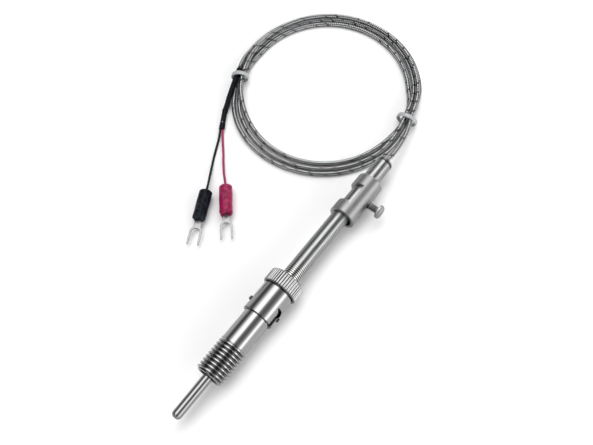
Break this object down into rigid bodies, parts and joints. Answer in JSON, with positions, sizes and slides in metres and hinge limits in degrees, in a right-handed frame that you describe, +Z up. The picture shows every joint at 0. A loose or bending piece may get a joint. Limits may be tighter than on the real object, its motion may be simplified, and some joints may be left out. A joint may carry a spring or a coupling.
{
  "type": "thermocouple",
  "caption": "Bayonet thermocouple: rounded probe in a threaded adapter, spring-armoured stem with sliding clamp, and a coiled braided cable ending in fork terminals.",
  "frame": {"origin": "on the probe's axis, at the adapter's threaded end face", "axes": "+Y along the probe from tip to cable, +Z up from the surface it lies on, +X towards the clamp screw"},
  "size_m": [0.1281, 0.2483, 0.0182],
  "materials": {
    "polished_steel": "polished",
    "spring_steel": "satin",
    "knurled_steel": "gloss",
    "dark_steel": "satin",
    "brass": "satin",
    "ceramic": "matte",
    "alloy_pale": "satin",
    "alloy_dark": "matte",
    "resin": "matte",
    "steel_braid": "satin",
    "pale_nylon": "satin",
    "black_shrink": "satin",
    "black_insulation": "matte",
    "red_insulation": "matte",
    "black_vinyl": "gloss",
    "red_vinyl": "gloss",
    "tinned_copper": "gloss"
  },
  "bodies": {
    "sensor": {"probe_sheath": "polished_steel", "insulator": "ceramic", "positive_wire": "alloy_pale", "negative_wire": "alloy_dark", "hot_junction": "alloy_dark", "sheath_seal": "resin", "front_ferrule": "polished_steel", "armour_spring": "spring_steel", "inner_cable": "steel_braid", "rear_ferrule": "polished_steel", "cable_lead": "steel_braid", "cable_coil": "steel_braid", "tie_left": "pale_nylon", "tie_right": "pale_nylon", "cable_tail": "steel_braid", "shrink_sleeve": "black_shrink", "breakout_boot": "black_shrink", "black_lead": "black_insulation", "red_lead": "red_insulation", "black_sleeve": "black_vinyl", "red_sleeve": "red_vinyl", "black_fork": "tinned_copper", "red_fork": "tinned_copper"},
    "bush": {"guide_bush": "brass"},
    "cap": {"bayonet_sleeve": "polished_steel", "knurled_collar": "knurled_steel", "lock_spring": "spring_steel"},
    "thrust": {"thrust_ring": "dark_steel"},
    "adapter": {"adapter": "polished_steel", "bayonet_pins": "dark_steel"},
    "clamp": {"clamp_body": "polished_steel"},
    "pad": {"clamp_pad": "brass"},
    "screw": {"clamp_screw": "dark_steel"}
  },
  "joints": [
    {"name": "cap_slide", "type": "slide", "parent": "sensor", "child": "bush", "axis": [0, 1, 0], "range_m": [-0.015, 0.02]},
    {"name": "cap_turn", "type": "hinge", "parent": "bush", "child": "cap", "pos_m": [0, 0.0537, 0], "axis": [0, 1, 0], "continuous": true},
    {"name": "lock_push", "type": "slide", "parent": "cap", "child": "thrust", "axis": [0, 1, 0], "range_m": [0, 0.002], "deforming": ["lock_spring"]},
    {"name": "lock_turn", "type": "hinge", "parent": "thrust", "child": "adapter", "pos_m": [0, 0.0391, 0], "axis": [0, -1, 0], "range_deg": [0, 34]},
    {"name": "clamp_slide", "type": "slide", "parent": "sensor", "child": "clamp", "axis": [0, 1, 0], "range_m": [-0.012, 0.006]},
    {"name": "pad_slide", "type": "slide", "parent": "clamp", "child": "pad", "axis": [1, 0, 0], "range_m": [0, 0.0021]},
    {"name": "screw_turn", "type": "hinge", "parent": "pad", "child": "screw", "pos_m": [0.009, 0.1136, 0], "axis": [1, 0, 0], "range_deg": [0, 1080.5]}
  ],
  "couplings": [
    {"joint": "lock_turn", "follows": "lock_push", "rad_per_m": 296.68},
    {"joint": "screw_turn", "follows": "pad_slide", "rad_per_m": 8976}
  ]
}
